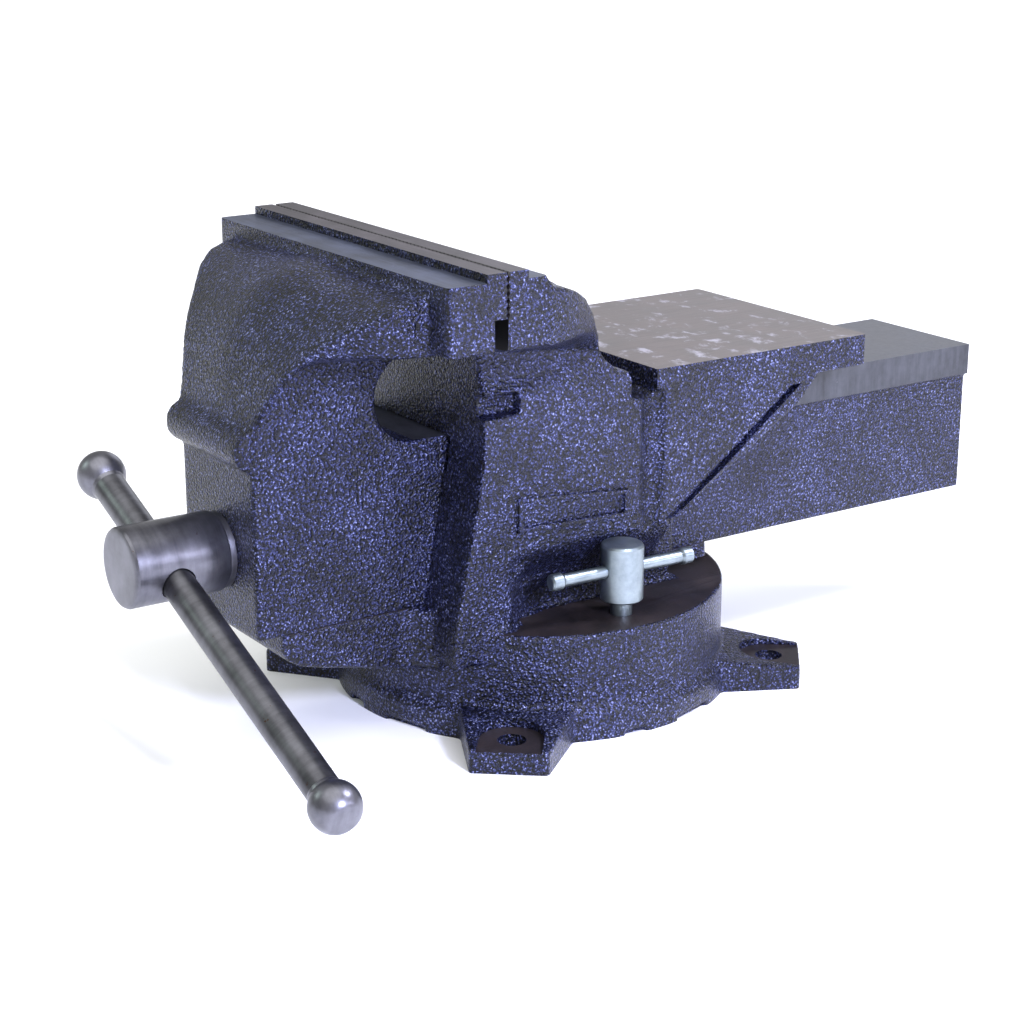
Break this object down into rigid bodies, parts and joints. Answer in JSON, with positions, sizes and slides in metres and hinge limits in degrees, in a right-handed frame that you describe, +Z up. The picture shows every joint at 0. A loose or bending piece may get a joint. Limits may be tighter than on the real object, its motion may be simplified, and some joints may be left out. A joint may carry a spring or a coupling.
{
  "type": "bench vise",
  "caption": "Swivel-base bench vise with a box slide, lead screw and sliding bar, wide jaws with steel plates, and a flat cast anvil over the tail.",
  "frame": {"origin": "centre of the base underside, on the swivel axis", "axes": "+Z up along the swivel axis, -Y towards the screw handle, +Y towards the tail and anvil, X across the jaws"},
  "size_m": [0.2685, 0.465, 0.222],
  "materials": {
    "paint": "dark blue-grey hammered paint on cast iron",
    "plate_steel": "ground steel",
    "screw_steel": "dark oiled steel",
    "nut_bronze": "machined bronze",
    "turned_steel": "turned bright steel",
    "zinc": "zinc plate"
  },
  "bodies": {
    "base": {"swivel_base": "paint"},
    "swivel_body": {"fixed_jaw_body": "paint", "fixed_jaw_plate": "plate_steel", "fixed_plate_screws": "screw_steel", "lead_nut": "nut_bronze", "nut_bolts": "screw_steel", "pivot_bolt": "screw_steel", "pivot_washer": "screw_steel", "t_nut_right": "screw_steel", "t_nut_left": "screw_steel"},
    "jaw": {"moving_jaw": "paint", "moving_jaw_plate": "plate_steel", "moving_plate_screws": "screw_steel"},
    "screw": {"main_screw": "turned_steel", "thrust_washer": "turned_steel", "retaining_collar": "turned_steel", "collar_pin": "turned_steel"},
    "bar": {"handle_bar": "turned_steel", "handle_ball_far": "turned_steel", "handle_ball_near": "turned_steel"},
    "lock_right": {"lock_bolt_right": "zinc"},
    "tommy_right": {"tommy_bar_right": "zinc", "tommy_caps_right": "zinc"},
    "lock_left": {"lock_bolt_left": "zinc"},
    "tommy_left": {"tommy_bar_left": "zinc", "tommy_caps_left": "zinc"}
  },
  "joints": [
    {"name": "swivel", "type": "hinge", "parent": "base", "child": "swivel_body", "pos_m": [0, 0, 0.025], "axis": [0, 0, 1], "continuous": true},
    {"name": "jaw_slide", "type": "slide", "parent": "swivel_body", "child": "jaw", "axis": [0, -1, 0], "range_m": [0, 0.2001]},
    {"name": "screw_turn", "type": "hinge", "parent": "jaw", "child": "screw", "pos_m": [0, -0.19, 0.092], "axis": [0, -1, 0], "range_deg": [0, 12000]},
    {"name": "bar_slide", "type": "slide", "parent": "screw", "child": "bar", "axis": [0.9278, 0, -0.373], "range_m": [-0.132, 0.037]},
    {"name": "lock_right_turn", "type": "hinge", "parent": "swivel_body", "child": "lock_right", "pos_m": [0.071, 0, 0.05], "axis": [0, 0, 1], "range_deg": [-15, 15]},
    {"name": "tommy_right_slide", "type": "slide", "parent": "lock_right", "child": "tommy_right", "axis": [0.0384, 0.9993, 0], "range_m": [0, 0.0215]},
    {"name": "lock_left_turn", "type": "hinge", "parent": "swivel_body", "child": "lock_left", "pos_m": [-0.071, 0, 0.05], "axis": [0, 0, 1], "range_deg": [-15, 15]},
    {"name": "tommy_left_slide", "type": "slide", "parent": "lock_left", "child": "tommy_left", "axis": [-0.0384, 0.9993, 0], "range_m": [0, 0.0215]}
  ],
  "couplings": [
    {"joint": "jaw_slide", "follows": "screw_turn", "m_per_rad": 0.00095493}
  ]
}
